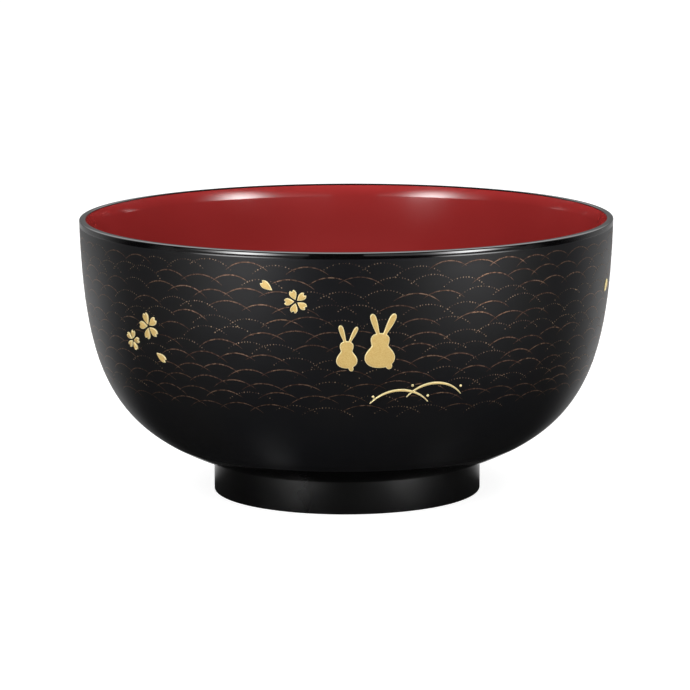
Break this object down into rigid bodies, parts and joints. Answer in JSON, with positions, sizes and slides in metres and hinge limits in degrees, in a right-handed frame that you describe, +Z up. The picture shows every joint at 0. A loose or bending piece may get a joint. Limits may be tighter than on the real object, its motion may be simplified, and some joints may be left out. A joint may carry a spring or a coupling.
{
  "type": "lacquer bowl",
  "caption": "Open round lacquer bowl on a raised foot ring: turned core, black outside with raised gold motifs, red lining and a gloss lip band, for soup, noodles or rice.",
  "frame": {"origin": "middle of the foot's resting edge, on the table", "axes": "+Z up along the bowl's axis; the decorated front, with the rabbits, faces -Y"},
  "size_m": [0.136, 0.136, 0.0706],
  "materials": {
    "wood_core": "turned wood, sealed under the coats",
    "vermilion_lacquer": "glossy red lacquer",
    "black_satin_lacquer": "satin black lacquer with bronze wave lines",
    "black_gloss_lacquer": "glossy black lacquer",
    "gold_powder": "raised gold powder, satin"
  },
  "bodies": {
    "root": {"bowl_core": "wood_core", "foot_ring": "wood_core", "inner_lacquer": "vermilion_lacquer", "outer_lacquer": "black_satin_lacquer", "rim_lacquer": "black_gloss_lacquer", "foot_lacquer": "black_gloss_lacquer", "underside_lacquer": "black_gloss_lacquer", "rabbit_small": "gold_powder", "rabbit_large": "gold_powder", "grass_mound": "gold_powder", "dew_drop_1": "gold_powder", "dew_drop_2": "gold_powder", "dew_drop_3": "gold_powder", "dew_drop_4": "gold_powder", "blossom_upper_petal_1": "gold_powder", "blossom_upper_petal_2": "gold_powder", "blossom_upper_petal_3": "gold_powder", "blossom_upper_petal_4": "gold_powder", "blossom_upper_petal_5": "gold_powder", "blossom_left_large_petal_1": "gold_powder", "blossom_left_large_petal_2": "gold_powder", "blossom_left_large_petal_3": "gold_powder", "blossom_left_large_petal_4": "gold_powder", "blossom_left_large_petal_5": "gold_powder", "blossom_left_small_petal_1": "gold_powder", "blossom_left_small_petal_2": "gold_powder", "blossom_left_small_petal_3": "gold_powder", "blossom_left_small_petal_4": "gold_powder", "blossom_left_small_petal_5": "gold_powder", "blossom_back_petal_1": "gold_powder", "blossom_back_petal_2": "gold_powder", "blossom_back_petal_3": "gold_powder", "blossom_back_petal_4": "gold_powder", "blossom_back_petal_5": "gold_powder", "petal_upper": "gold_powder", "petal_left": "gold_powder", "petal_right": "gold_powder", "petal_back_high": "gold_powder", "petal_back_low": "gold_powder"}
  },
  "joints": []
}
